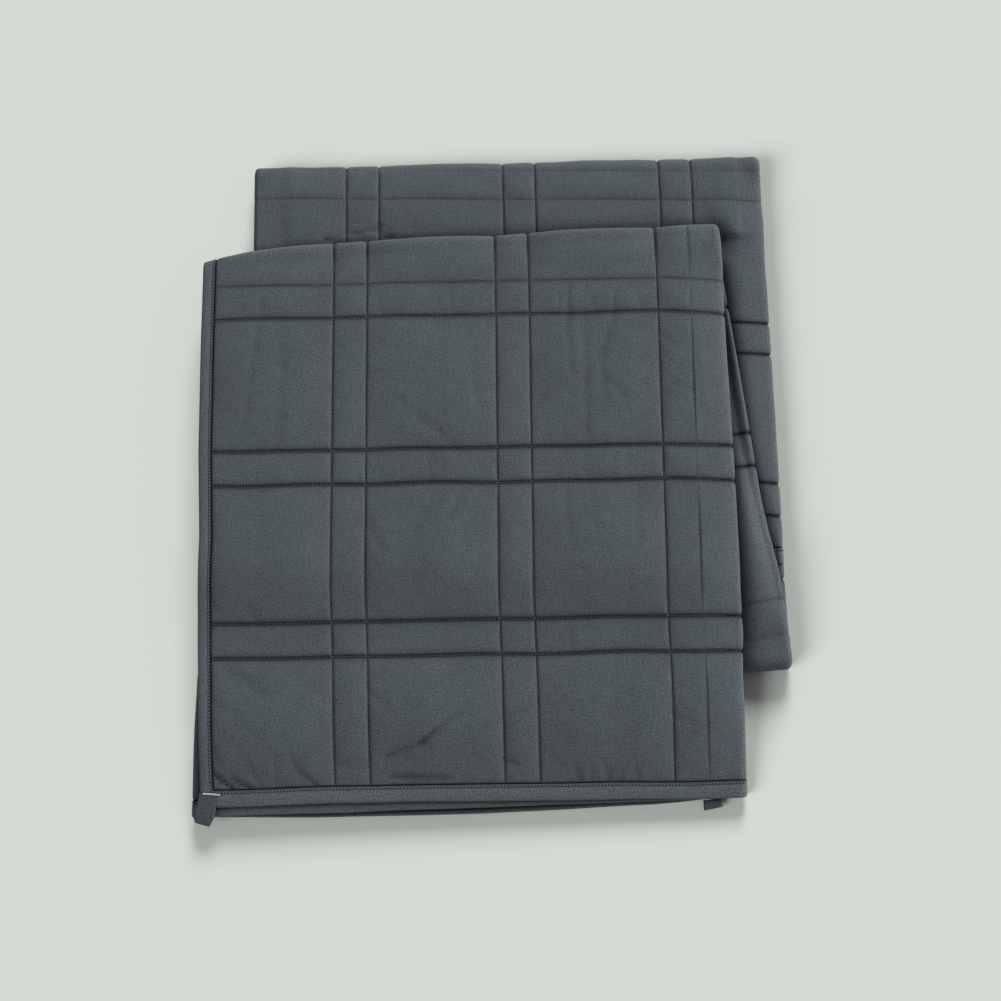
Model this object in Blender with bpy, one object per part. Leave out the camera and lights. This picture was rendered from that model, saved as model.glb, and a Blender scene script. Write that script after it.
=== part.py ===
"""A quilted weighted blanket, folded flat in thirds and then in four, as it lies on a floor.

The blanket is described flat first: u runs across it, v along it, and w is the height above its middle
layer, positive on the face that shows. One function then folds a flat point to its place in the pile:
two lengthwise folds make a strip of three layers, and three crosswise folds turn the strip back and forth.
Metres, +Z up. +Y is the far side of the pile, and the origin is the middle of its footprint on the floor.
"""

from math import atan2, cos, pi, radians, sin, tan

import bmesh
import bpy
import numpy as np

# Flat blanket
WIDTH = 1.524
LENGTH = 2.032
SQUARE_U = 0.1266          # side of a big square across the blanket
SQUARE_V = 0.1324          # and along it
PAIR_GAP = 0.0329          # between the two stitch lines of a pair
FIRST_U = 0.1291           # first stitch line from the left edge
FIRST_V = 0.1334           # first stitch line from the near end
LAYER = 0.0035             # thickness of a filled square
LINE_DEPTH = 0.0010        # how far a stitch line sinks into the face
LINE_SLOPE = 0.0050        # width of the slope beside a stitch line
EDGE_HALF = 0.0008         # half thickness of the flat margin inside the binding
CLEAR = 0.0003             # between touching pieces

# Edge binding, loops and bar tack
BIND_REACH = 0.0135
BIND_HALF = 0.0018
BIND_CLOTH = 0.0007
LOOP_WIDTH = 0.0162
LOOP_CLOTH = 0.0007
LOOP_SLOT = 0.0006
LOOP_TAPER = 0.0004
TACK_SIZE = (0.0167, 0.0022, 0.0008)
TACK_CENTRE = (0.0109, 0.0121)

# Pile
PITCH = 0.0045             # from one layer to the next
RIGHT_FOLD = 0.5085        # u where the first lengthwise fold starts
LEFT_FOLD = 1.0263         # u where the second one starts
TURN = radians(1.25)       # the pile's top strip is turned this much on the floor
CORNER = (-0.27570, -0.32695)  # the flat top strip's near left corner, so that the footprint is centred

# Crosswise folds, in the strip's own plane: where each starts at the left and right edge of the strip,
# the height of its axis, whether it turns up (+1) or down (-1), its outer radius and its angle.
# side +1 moves what lies beyond the fold towards the far end, and -1 what lies towards the near end.
FOLDS = (
    dict(name="hidden_end", left=1.5597, right=1.5585, side=1, axis=2.5 * PITCH, up=1, radius=2.5 * PITCH, angle=pi),
    dict(name="under_fold", left=0.9934, right=1.0201, side=1, axis=2.5 * PITCH, up=1, radius=2.5 * PITCH, angle=pi),
    dict(name="top_fold", left=0.5312, right=0.5592, side=1, axis=-0.5 * PITCH, up=-1, radius=2.5 * PITCH, angle=pi),
    dict(name="overhang", left=0.1005, right=0.1250, side=-1, axis=PITCH - 0.2, up=-1, radius=0.2, angle=radians(15.7)),
)

# How the cloth lies in the strip, by distance v along the blanket. ALONG, in metres and degrees: slack moves it
# along the strip, the skews tilt the rows of the top third and of the thirds under it, and nip tilts them beside
# the right fold only.
ALONG_COLUMNS = ("v", "slack", "skew_top", "skew_under", "nip")
ALONG = (
    (0.0000, 0.0012, -0.15, -0.75, -0.70),
    (0.1100, 0.0060, -0.15, -0.75, -0.80),
    (0.1900, 0.0060, -0.15, -0.75, -0.90),
    (0.2987, 0.0046, -0.20, -0.75, -1.00),
    (0.3316, 0.0059, -0.20, -0.75, -1.10),
    (0.4400, 0.0072, 0.00, -0.75, -2.30),
    (0.5100, 0.0096, 0.00, -0.75, -2.30),
    (0.6500, 0.0060, 0.00, 0.00, 2.00),
    (0.9400, 0.0070, 0.00, 0.00, 4.40),
    (1.0600, 0.0070, 0.00, 0.00, 0.00),
    (1.2800, 0.0060, 0.00, 0.00, 0.00),
    (1.5600, -0.0200, -1.40, -1.40, 0.00),
    (1.8000, -0.0230, -1.40, -1.40, 0.00),
    (2.0400, -0.0233, -1.40, -1.40, 0.00),
)

# ACROSS, in metres: slip moves the cloth across its own folds, sway moves the whole strip, edge_in draws in its
# open edge, right_out moves the right fold out and toe the left one.
ACROSS_COLUMNS = ("v", "slip", "sway", "edge_in", "right_out", "toe")
ACROSS = (
    (0.0000, 0.0000, -0.0002, 0.0033, 0.0020, 0.0073),
    (0.1100, 0.0000, -0.0010, 0.0025, 0.0015, 0.0010),
    (0.1500, 0.0000, -0.0018, 0.0020, 0.0045, -0.0010),
    (0.1900, 0.0000, -0.0026, 0.0033, 0.0040, -0.0020),
    (0.2500, 0.0000, -0.0019, 0.0040, 0.0035, -0.0025),
    (0.3316, 0.0000, -0.0011, 0.0008, 0.0026, -0.0012),
    (0.4400, 0.0000, 0.0001, -0.0003, 0.0000, 0.0000),
    (0.5100, 0.0000, 0.0007, 0.0000, 0.0000, 0.0000),
    (0.6500, 0.0000, 0.0000, 0.0000, -0.0035, 0.0000),
    (0.8600, 0.0000, 0.0000, 0.0000, -0.0038, 0.0000),
    (0.9400, 0.0000, 0.0000, 0.0000, 0.0016, 0.0000),
    (0.9900, 0.0000, 0.0000, 0.0000, 0.0021, 0.0000),
    (1.0600, 0.0000, 0.0000, 0.0000, 0.0000, 0.0000),
    (1.2800, 0.0100, 0.0000, 0.0000, 0.0000, 0.0000),
    (1.5600, 0.0200, 0.0000, 0.0000, 0.0000, 0.0020),
    (2.0400, 0.0200, 0.0000, 0.0000, 0.0000, 0.0020),
)
NIP_REACH = 0.06
SLIP_REACH = 0.45          # slip grows and edge_in fades over these distances
EDGE_REACH = FIRST_U

# The near end isn't straight: how far it bows towards the far end and moves to the right at distance u across.
# Both fade over NEAR_REACH along the blanket.
NEAR_COLUMNS = ("u", "bow", "out")
NEAR = (
    (0.0000, 0.0000, 0.0000),
    (0.1291, 0.0026, 0.0000),
    (0.2886, 0.0014, 0.0000),
    (0.4481, 0.0000, 0.0000),
    (0.5300, 0.0000, 0.0000),
    (0.6076, -0.0040, 0.0000),
    (0.7671, -0.0075, 0.0000),
    (0.9266, -0.0050, 0.0000),
    (1.0450, 0.0000, 0.0000),
    (1.5240, 0.0000, 0.0160),
)
NEAR_REACH = 0.11
SETTLE = 0.086             # length over which the upper layers settle past the hidden end

# Mesh
FOLD_STEPS = 6             # flats round a crosswise or the right lengthwise fold
TIGHT_STEPS = 4            # flats round the left lengthwise fold
OVERHANG_STEPS = 3
LEAST_STEP = 0.0012        # between rows that a fold pushes together
SETTLE_STEP = 0.021        # rows where the upper layers settle
SETTLE_ZONES = (dict(start=0.125, end=0.250), dict(start=0.855, end=1.015))

COLOURS = dict(
    cloth=(0.088, 0.104, 0.114, 1.0),
    binding=(0.075, 0.090, 0.099, 1.0),
    loop=(0.060, 0.072, 0.080, 1.0),
    thread=(0.62, 0.60, 0.56, 1.0),
)


def read_table(table, column, at):
    """One column of a table, read at a value of its first column."""
    return np.interp(at, [row[0] for row in table], [row[column] for row in table])


def along(column, v):
    return read_table(ALONG, ALONG_COLUMNS.index(column), v)


def across(column, v):
    return read_table(ACROSS, ACROSS_COLUMNS.index(column), v)


def strip_place(u, v, w):
    """Flat point to the three-layer strip: x across, y along, n up from the lowest layer's middle."""
    near = np.clip(1 - v / NEAR_REACH, 0, 1)
    bow = near * read_table(NEAR, NEAR_COLUMNS.index("bow"), u)
    out = near * read_table(NEAR, NEAR_COLUMNS.index("out"), u)
    u = u - across("slip", v) * np.clip(u / SLIP_REACH, 0, 1) + across("edge_in", v) * np.clip(1 - u / EDGE_REACH, 0, 1)
    right = RIGHT_FOLD + across("right_out", v)
    left = LEFT_FOLD + 2 * across("right_out", v) + across("toe", v)
    left_x = right - (left - right - pi * PITCH)
    right_turn = np.clip((u - right) / PITCH, 0, pi)
    left_turn = np.clip((u - left) / (PITCH / 2), 0, pi)
    x = np.where(u < right, u, right - np.clip(u - right - pi * PITCH, 0, None))
    x = np.where((right_turn > 0) & (right_turn < pi), right + (PITCH + w) * np.sin(right_turn), x)
    n = PITCH + (PITCH + w) * np.cos(right_turn)
    x = np.where(u > left, left_x - (PITCH / 2 + w) * np.sin(left_turn), x)
    x = np.where(left_turn >= pi, left_x + (u - left - pi * PITCH / 2), x)
    n = np.where(u > left, PITCH / 2 - (PITCH / 2 + w) * np.cos(left_turn), n)
    is_top = u < right + pi * PITCH / 2
    from_fold = np.clip(right - x, 0, None)
    skew = from_fold * np.where(is_top, along("skew_top", v), along("skew_under", v))
    skew = np.radians(skew + np.minimum(from_fold, NIP_REACH) * along("nip", v)) * np.where(is_top, -1, 1)
    return x + out + across("sway", v), v + along("slack", v) + skew + bow, n


def across_fold(fold):
    """The direction across a fold, away from what stays still."""
    slant = atan2(fold["right"] - fold["left"], RIGHT_FOLD)
    return -sin(slant) * fold["side"], cos(slant) * fold["side"]


def folded_strip(u, v, w):
    """Flat point to the folded strip, before the upper layers settle."""
    start_x, start_y, n = strip_place(u, v, w)
    x, y = start_x, start_y
    for fold in FOLDS:
        ax, ay = across_fold(fold)
        flat_reach = start_x * ax + (start_y - fold["left"]) * ay
        reach = x * ax + (y - fold["left"]) * ay
        arm = (fold["axis"] - n) * fold["up"]
        turn = np.clip(flat_reach / fold["radius"], 0, fold["angle"])
        beyond = np.where(flat_reach > fold["radius"] * fold["angle"], reach - fold["radius"] * fold["angle"], 0)
        moves = flat_reach > 0
        step = np.where(moves, arm * np.sin(turn) + beyond * np.cos(turn) - reach, 0)
        n = np.where(moves, fold["axis"] - fold["up"] * (arm * np.cos(turn) - beyond * np.sin(turn)), n)
        x = x + step * ax
        y = y + step * ay
    return x, y, n, start_x, start_y


def hidden_end_line():
    """Left and right end of the blanket's far edge, where it lies under the upper layers."""
    ends = np.array([LEFT_FOLD, RIGHT_FOLD + pi * PITCH]) + across("slip", LENGTH)
    x, y = folded_strip(ends, np.full(2, LENGTH), np.zeros(2))[:2]
    return x, y


HIDDEN_X, HIDDEN_Y = hidden_end_line()


def place(u, v, w):
    """Flat point to its place in the pile, on the floor."""
    u, v, w = (np.array(a, dtype=float) for a in np.broadcast_arrays(u, v, w))
    x, y, n, start_x, start_y = folded_strip(u, v, w)
    line = np.array([HIDDEN_X[1] - HIDDEN_X[0], HIDDEN_Y[1] - HIDDEN_Y[0]])
    line = line / np.hypot(*line)
    past_end = np.clip(((x - HIDDEN_X[0]) * line[1] - (y - HIDDEN_Y[0]) * line[0]) / SETTLE, 0, 1)
    ax, ay = across_fold(FOLDS[1])
    is_upper = start_x * ax + (start_y - FOLDS[1]["left"]) * ay < 0
    n = n + np.where(is_upper, 3 * PITCH * (1 - past_end**2 * (3 - 2 * past_end)), 0)
    world_x = CORNER[0] + x * cos(TURN) - y * sin(TURN)
    world_y = CORNER[1] + x * sin(TURN) + y * cos(TURN)
    return np.stack([world_x, world_y, n + 6 * PITCH + LAYER / 2], axis=-1)


def stitch_lines(first, square, limit):
    """Distances of the stitch lines from the edge, two to a pair."""
    lines = []
    while first + PAIR_GAP < limit:
        lines += [first, first + PAIR_GAP]
        first += PAIR_GAP + square
    return lines


def relief(lines, size):
    """Knots of the half thickness across one direction: thin margins, full squares and sunk stitch lines."""
    full, line = LAYER / 2, LAYER / 2 - LINE_DEPTH
    margin = BIND_REACH + CLEAR
    knots = [(0.0, EDGE_HALF), (margin, EDGE_HALF), (margin + LINE_SLOPE, full)]
    for first, second in zip(lines[::2], lines[1::2]):
        knots += [(first - LINE_SLOPE, full), (first, line), (second, line), (second + LINE_SLOPE, full)]
    return knots + [(size - margin - LINE_SLOPE, full), (size - margin, EDGE_HALF), (size, EDGE_HALF)]


LINES_U = stitch_lines(FIRST_U, SQUARE_U, WIDTH)
LINES_V = stitch_lines(FIRST_V, SQUARE_V, LENGTH)


def half_thickness(u, v, grooved=True):
    """Half thickness of the cloth: the thinner of the two directions' reliefs."""
    knots_u = np.array(relief(LINES_U if grooved else [], WIDTH))
    knots_v = np.array(relief(LINES_V if grooved else [], LENGTH))
    return np.minimum(np.interp(u, *knots_u.T), np.interp(v, *knots_v.T))


def column_stations():
    """Columns of the mesh: u, whether the hidden face and the binding have it, and which fold it is on."""
    rim = BIND_CLOTH + CLEAR
    margin = BIND_REACH + CLEAR
    edges = [rim, margin, margin + LINE_SLOPE, WIDTH - margin - LINE_SLOPE, WIDTH - margin, WIDTH - rim]
    squares = [u + PAIR_GAP + SQUARE_U / 2 for u in LINES_U[::2] if LEFT_FOLD < u < WIDTH - SQUARE_U]
    right_folds = [RIGHT_FOLD + pi * PITCH * k / FOLD_STEPS for k in range(FOLD_STEPS + 1)]
    left_folds = [LEFT_FOLD + pi * PITCH / 2 * k / TIGHT_STEPS for k in range(TIGHT_STEPS + 1)]
    stitched = [line for line in LINES_U if line < LEFT_FOLD]
    relief_knots = [u for u, half in relief(stitched, WIDTH)[3:-3]]
    stations = [(u, True, 0) for u in edges + squares]
    stations += [(u, True, 1) for u in right_folds] + [(u, True, 2) for u in left_folds]
    stations += [(u, u in stitched[::2], 0) for u in relief_knots]
    return [np.array(column) for column in zip(*sorted(stations))]


def on_column(u, fold_number, v):
    """Where a column runs: one on the right fold (1) or the left fold (2) moves across the cloth with it."""
    moved = np.where(fold_number > 0, across("slip", v) + fold_number * across("right_out", v), 0.0)
    return u + moved + np.where(fold_number == 2, across("toe", v), 0.0)


def fold_row(fold, reach, u, fold_number):
    """The v at each column for a row that keeps one distance from a fold's start."""
    slant = atan2(fold["right"] - fold["left"], RIGHT_FOLD)
    v = np.full(len(u), fold["left"])
    for repeat in range(8):
        x, y, n = strip_place(on_column(u, fold_number, v), v, np.zeros(len(u)))
        v = v + fold["left"] + x * tan(slant) + fold["side"] * reach / cos(slant) - y
    return v


def row_stations(u, fold_number):
    """Rows of the mesh: v at each column, the row's own v, and whether the hidden face has it."""
    rim = BIND_CLOTH + CLEAR
    margin = BIND_REACH + CLEAR
    coarse = [rim, margin, margin + LINE_SLOPE, LENGTH - margin - LINE_SLOPE, LENGTH - margin, LENGTH - rim]
    coarse += sorted({row[0] for row in ALONG[1:-1] + ACROSS[1:-1]})
    knots = [v for v, half in relief(LINES_V, LENGTH)[3:-3]]
    for zone in SETTLE_ZONES:
        steps = np.arange(zone["start"], zone["end"], SETTLE_STEP)
        coarse += [v for v in steps if min(abs(v - knot) for knot in knots + coarse) > SETTLE_STEP / 2]
        coarse += [v for v in knots if zone["start"] < v < zone["end"]]
    rows = [(v, np.full(len(u), v), True, False) for v in coarse]
    rows += [(v, np.full(len(u), v), False, False) for v in knots if v not in coarse]
    middle = np.array([RIGHT_FOLD / 2])
    for fold in FOLDS:
        steps = OVERHANG_STEPS if fold["name"] == "overhang" else FOLD_STEPS
        for k in range(steps + 1):
            reach = fold["radius"] * fold["angle"] * k / steps
            key = float(fold_row(fold, reach, middle, np.array([0]))[0])
            rows.append((key, fold_row(fold, reach, u, fold_number), True, True))
    rows.sort(key=lambda row: row[0])
    values = np.array([row[1] for row in rows])
    locked = [row[3] for row in rows]
    for j in range(len(rows) - 2, -1, -1):      # rows before a fold give way to it
        if not locked[j] and any(locked[j + 1 : j + 6]):
            values[j] = np.minimum(values[j], values[j + 1] - LEAST_STEP)
    for j in range(1, len(rows)):               # and so do rows after it
        if not locked[j] and any(locked[max(0, j - 5) : j]):
            values[j] = np.maximum(values[j], values[j - 1] + LEAST_STEP)
    return values, np.array([row[0] for row in rows]), np.array([row[2] for row in rows])


def new_object(name, vertices, faces, colour, roughness):
    """Mesh object with its faces pointing out and its own material."""
    mesh = bpy.data.meshes.new(name)
    mesh.from_pydata([tuple(p) for p in vertices], [], faces)
    shape = bmesh.new()
    shape.from_mesh(mesh)
    bmesh.ops.triangulate(shape, faces=shape.faces[:])
    bmesh.ops.recalc_face_normals(shape, faces=shape.faces[:])
    if shape.calc_volume(signed=True) < 0:
        bmesh.ops.reverse_faces(shape, faces=shape.faces[:])
    shape.to_mesh(mesh)
    shape.free()
    mesh.shade_smooth()
    mesh.set_sharp_from_angle(angle=radians(35))
    material = bpy.data.materials.new(name)
    material.use_nodes = True
    shader = material.node_tree.nodes["Principled BSDF"]
    shader.inputs["Base Color"].default_value = colour
    shader.inputs["Roughness"].default_value = roughness
    shader.inputs["Metallic"].default_value = 0.0
    mesh.materials.append(material)
    piece = bpy.data.objects.new(name, mesh)
    collection.objects.link(piece)
    return piece


def grid_faces(ids, flip=False):
    """Quads over a grid of vertex numbers."""
    a, b, c, d = ids[:-1, :-1], ids[:-1, 1:], ids[1:, 1:], ids[1:, :-1]
    quads = np.stack([a, d, c, b] if flip else [a, b, c, d], axis=-1).reshape(-1, 4)
    return [tuple(int(i) for i in quad) for quad in quads]


def fan_faces(fine, coarse, coarse_at):
    """Triangles between a fine edge and a coarse one that has some of its stations."""
    faces = []
    for k in range(len(coarse_at) - 1):
        first, last = coarse_at[k], coarse_at[k + 1]
        middle = (first + last) // 2
        faces += [(fine[j], fine[j + 1], coarse[k]) for j in range(first, middle)]
        faces += [(fine[middle], coarse[k + 1], coarse[k])]
        faces += [(fine[j], fine[j + 1], coarse[k + 1]) for j in range(middle, last)]
    return [tuple(int(i) for i in face) for face in faces]


def make_quilt():
    """The quilted panel: one closed solid, its shown face in relief and its hidden face plain."""
    u, is_coarse_u, fold_number = column_stations()
    v, nominal, is_coarse_v = row_stations(u, fold_number)
    coarse_u, coarse_v = np.flatnonzero(is_coarse_u), np.flatnonzero(is_coarse_v)
    grid_u = on_column(u, fold_number, v)
    nominal = np.broadcast_to(nominal[:, None], v.shape)
    shown = place(grid_u, v, half_thickness(u, nominal))
    pick = np.ix_(coarse_v, coarse_u)
    flat_half = half_thickness(np.broadcast_to(u, v.shape), nominal, grooved=False)
    hidden = place(grid_u[pick], v[pick], -flat_half[pick])
    shown_ids = np.arange(shown[..., 0].size).reshape(shown.shape[:2])
    hidden_ids = shown_ids.size + np.arange(hidden[..., 0].size).reshape(hidden.shape[:2])
    faces = grid_faces(shown_ids) + grid_faces(hidden_ids, flip=True)
    for end in (0, -1):
        faces += fan_faces(shown_ids[:, end], hidden_ids[:, end], coarse_v)
        faces += fan_faces(shown_ids[end, :], hidden_ids[end, :], coarse_u)
    vertices = np.concatenate([shown.reshape(-1, 3), hidden.reshape(-1, 3)])
    return new_object("quilted_panel", vertices, faces, COLOURS["cloth"], 0.85)


def make_binding():
    """The folded tape round the whole edge: a U section carried round the blanket with mitred corners."""
    inner = BIND_HALF - BIND_CLOTH
    section = [
        (0, -BIND_HALF), (0, BIND_HALF), (BIND_REACH, BIND_HALF), (BIND_REACH, inner),
        (BIND_CLOTH, inner), (BIND_CLOTH, -inner), (BIND_REACH, -inner), (BIND_REACH, -BIND_HALF),
    ]
    inset = np.array([point[0] for point in section])
    height = np.array([point[1] for point in section])
    columns = [(u, fold) for u, is_coarse, fold in list(zip(*column_stations()))[3:-3] if is_coarse]
    still = np.zeros(len(inset))
    sides = {}
    for name, u in (("left", inset), ("right", WIDTH - inset)):
        v, nominal, keep = row_stations(u, still)
        sides[name] = [(u, row) for row in v[keep][3:-3]]
    near, far = inset, LENGTH - inset
    flat = [(inset, near)] + [(on_column(np.full(len(inset), u), fold, near), near) for u, fold in columns]
    flat += [(WIDTH - inset, near)] + sides["right"] + [(WIDTH - inset, far)]
    flat += [(on_column(np.full(len(inset), u), fold, far), far) for u, fold in reversed(columns)]
    flat += [(inset, far)] + sides["left"][::-1]
    vertices = np.concatenate([place(u, v, height) for u, v in flat])
    count = len(section)
    ids = np.arange(len(flat) * count).reshape(len(flat), count)
    ring = np.vstack([ids, ids[:1]])
    ring = np.hstack([ring, ring[:, :1]])
    return new_object("edge_binding", vertices, grid_faces(ring), COLOURS["binding"], 0.8)


def make_loop(name, near_u, tack_v, tip_v, level, lean):
    """A flat hanging loop: one tape that runs out past the corner, turns at the tip and comes back under."""
    thick = LOOP_CLOTH
    turn = (LOOP_SLOT + 2 * thick) / 2
    steps = 6
    middle = level - turn
    outline = [(tack_v, level - thick), (tack_v, level)]
    outer = [pi / 2 - pi * k / steps for k in range(steps + 1)]
    outline += [(tip_v + turn - turn * cos(a), middle + turn * sin(a)) for a in outer]
    back_v = -BIND_CLOTH
    outline += [(back_v, middle - turn), (back_v, middle - turn + thick)]
    outline += [(tip_v + turn - (turn - thick) * cos(a), middle + (turn - thick) * sin(a)) for a in outer[::-1]]
    v = np.array([point[0] for point in outline])
    w = np.array([point[1] for point in outline])
    share = (tack_v - v) / (tack_v - tip_v)
    left = near_u + LOOP_TAPER * share - lean * share
    right = near_u + LOOP_WIDTH - LOOP_TAPER * share - lean * share
    vertices = np.concatenate([place(left, v, w), place(right, v, w)])
    count = len(outline)
    faces = [tuple(range(count)), tuple(range(2 * count - 1, count - 1, -1))]
    faces += [(k, (k + 1) % count, count + (k + 1) % count, count + k) for k in range(count)]
    return new_object(name, vertices, faces, COLOURS["loop"], 0.85)


def make_tack(level):
    """The pale bar of close stitches that holds the near loop."""
    bpy.ops.mesh.primitive_cube_add(size=1)
    piece = bpy.context.object
    piece.name = "bar_tack"
    mesh = piece.data
    flat = np.array([vertex.co[:] for vertex in mesh.vertices]) * np.array(TACK_SIZE)
    centre = (*TACK_CENTRE, level + CLEAR + TACK_SIZE[2] / 2)
    points = place(*(flat + np.array(centre)).T)
    faces = [tuple(polygon.vertices) for polygon in mesh.polygons]
    bpy.data.objects.remove(piece)
    return new_object("bar_tack", points, faces, COLOURS["thread"], 0.6)


for old in list(bpy.data.objects):
    bpy.data.objects.remove(old)
collection = bpy.data.collections.new("weighted_blanket")
bpy.context.scene.collection.children.link(collection)

loop_level = BIND_HALF + CLEAR + LOOP_CLOTH
make_quilt()
make_binding()
make_loop("loop_near_corner", -0.0010, BIND_REACH - 0.0005, -0.0155, loop_level, 0.0050)
make_loop("loop_tucked_corner", WIDTH - LOOP_WIDTH - 0.0005, -CLEAR - 0.0004, -0.0080, 0.0010, -0.0010)
make_tack(loop_level)
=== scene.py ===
from math import atan2, cos, pi, radians, sin

import bpy
import numpy as np
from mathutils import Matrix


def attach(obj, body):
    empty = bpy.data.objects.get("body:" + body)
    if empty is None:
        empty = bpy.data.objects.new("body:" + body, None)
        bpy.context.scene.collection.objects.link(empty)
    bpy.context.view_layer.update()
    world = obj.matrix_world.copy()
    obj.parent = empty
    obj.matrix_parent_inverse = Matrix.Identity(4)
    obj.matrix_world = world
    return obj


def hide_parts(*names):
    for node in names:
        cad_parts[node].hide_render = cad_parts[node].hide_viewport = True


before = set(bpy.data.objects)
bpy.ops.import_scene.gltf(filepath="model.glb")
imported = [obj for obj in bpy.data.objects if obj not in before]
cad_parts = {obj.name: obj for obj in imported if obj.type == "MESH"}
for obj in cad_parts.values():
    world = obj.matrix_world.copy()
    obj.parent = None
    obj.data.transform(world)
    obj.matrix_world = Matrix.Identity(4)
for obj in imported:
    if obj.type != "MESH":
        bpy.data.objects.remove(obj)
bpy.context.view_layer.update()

# The blanket lies in thirds and then in four. Everything is worked out on the flat cloth first: u across it,
# v along it, w above its middle layer, positive on the face that shows. placeOnPile folds such a point.
blanket = {
    "width": 1.524,
    "length": 2.032,
    "square": (0.1266, 0.1324),  # big squares across and along
    "pairGap": 0.0329,  # between the two lines of a pair
    "firstLine": (0.1291, 0.1334),
    "layer": 0.0035,
    "pitch": 0.0045,  # from one layer to the next
    "rightFold": 0.5085,
    "leftFold": 1.0263,
    "turn": radians(1.25),
    "corner": (-0.27570, -0.32695),
    "settle": 0.086,
    "nipReach": 0.06,
    "slipReach": 0.45,
    "nearReach": 0.11,
    "wander": (0.0006, 0.10),  # how far a seam wanders, and over what length
}
pitch = blanket["pitch"]

# start of each crosswise fold at the strip's left and right edge, side, axis height, way up, radius, angle
roll, droop = 2.5 * pitch, 0.2  # radius of a full fold, and of the near end's bend
crossFolds = [dict(zip(("left", "right", "side", "axis", "up", "radius", "angle"), row)) for row in (
    (1.5597, 1.5585, 1, roll, 1, roll, pi),
    (0.9934, 1.0201, 1, roll, 1, roll, pi),
    (0.5312, 0.5592, 1, -0.5 * pitch, -1, roll, pi),
    (0.1005, 0.1250, -1, pitch - droop, -1, droop, radians(15.7)),
)]

# how the cloth lies in the strip, by v: moved along (mm), rows turned in the top third and under it, and
# beside the right fold only (degrees)
alongTable = {
    "v": [0.0000, 0.1100, 0.1900, 0.2987, 0.3316, 0.4400, 0.5100, 0.6500, 0.9400, 1.0600, 1.2800, 1.5600,
          1.8000, 2.0400],
    "slack": [1.2, 6.0, 6.0, 4.6, 5.9, 7.2, 9.6, 6.0, 7.0, 7.0, 6.0, -20.0, -23.0, -23.3],
    "skewTop": [-0.15, -0.15, -0.15, -0.2, -0.2, 0, 0, 0, 0, 0, 0, -1.4, -1.4, -1.4],
    "skewUnder": [-0.75, -0.75, -0.75, -0.75, -0.75, -0.75, -0.75, 0, 0, 0, 0, -1.4, -1.4, -1.4],
    "nip": [-0.7, -0.8, -0.9, -1.0, -1.1, -2.3, -2.3, 2.0, 4.4, 0, 0, 0, 0, 0],
}
# across, by v, in mm: cloth slipped across its folds, whole strip moved, open edge drawn in, right fold
# moved out, left fold moved out
acrossTable = {
    "v": [0.0000, 0.1100, 0.1500, 0.1900, 0.2500, 0.3316, 0.4400, 0.5100, 0.6500, 0.8600, 0.9400, 0.9900,
          1.0600, 1.2800, 1.5600, 2.0400],
    "slip": [0, 0, 0, 0, 0, 0, 0, 0, 0, 0, 0, 0, 0, 10, 20, 20],
    "sway": [-0.2, -1.0, -1.8, -2.6, -1.9, -1.1, 0.1, 0.7, 0, 0, 0, 0, 0, 0, 0, 0],
    "edgeIn": [3.3, 2.5, 2.0, 3.3, 4.0, 0.8, -0.3, 0, 0, 0, 0, 0, 0, 0, 0, 0],
    "rightOut": [2.0, 1.5, 4.5, 4.0, 3.5, 2.6, 0, 0, -3.5, -3.8, 1.6, 2.1, 0, 0, 0, 0],
    "toe": [7.3, 1.0, -1.0, -2.0, -2.5, -1.2, 0, 0, 0, 0, 0, 0, 0, 0, 2.0, 2.0],
}
# the near end by u, in mm: bowed towards the far end, and moved to the right
nearTable = {
    "u": [0.0000, 0.1291, 0.2886, 0.4481, 0.5300, 0.6076, 0.7671, 0.9266, 1.0450, 1.5240],
    "bow": [0, 2.6, 1.4, 0, 0, -4.0, -7.5, -5.0, 0, 0],
    "out": [0, 0, 0, 0, 0, 0, 0, 0, 0, 16.0],
}
# the top fold bulges past its straight line between the stitch lines, in mm across the strip
topFoldTable = {
    "x": [-0.02, 0.003, 0.017, 0.05, 0.129, 0.162, 0.215, 0.285, 0.345, 0.385, 0.44, 0.452, 0.480, 0.505],
    "bulge": [-4.7, -4.7, -1.9, 0.9, 4.6, 4.2, 2.2, 0.5, 0.5, 0.0, -2.2, -2.6, -1.5, -1.2],
}


def smoothStep(t):
    # 0 before 0, 1 after 1, and 3t^2 - 2t^3 between
    t = np.clip(t, 0, 1)
    return t * t * (3 - 2 * t)


def along(name, v):
    return np.interp(v, alongTable["v"], alongTable[name])


def across(name, v):
    return np.interp(v, acrossTable["v"], acrossTable[name]) / 1000


def waves(u, v, seed, wavelength, count=9):
    # sum of sine waves in random directions, about -1 to 1
    draw = np.random.default_rng(seed)
    total = 0
    for k in range(count):
        direction, phase = draw.uniform(0, pi), draw.uniform(0, 2 * pi)
        length = wavelength * draw.uniform(0.7, 1.5)
        total = total + np.sin(2 * pi * (u * cos(direction) + v * sin(direction)) / length + phase)
    return total / count ** 0.5 / 1.5


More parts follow.
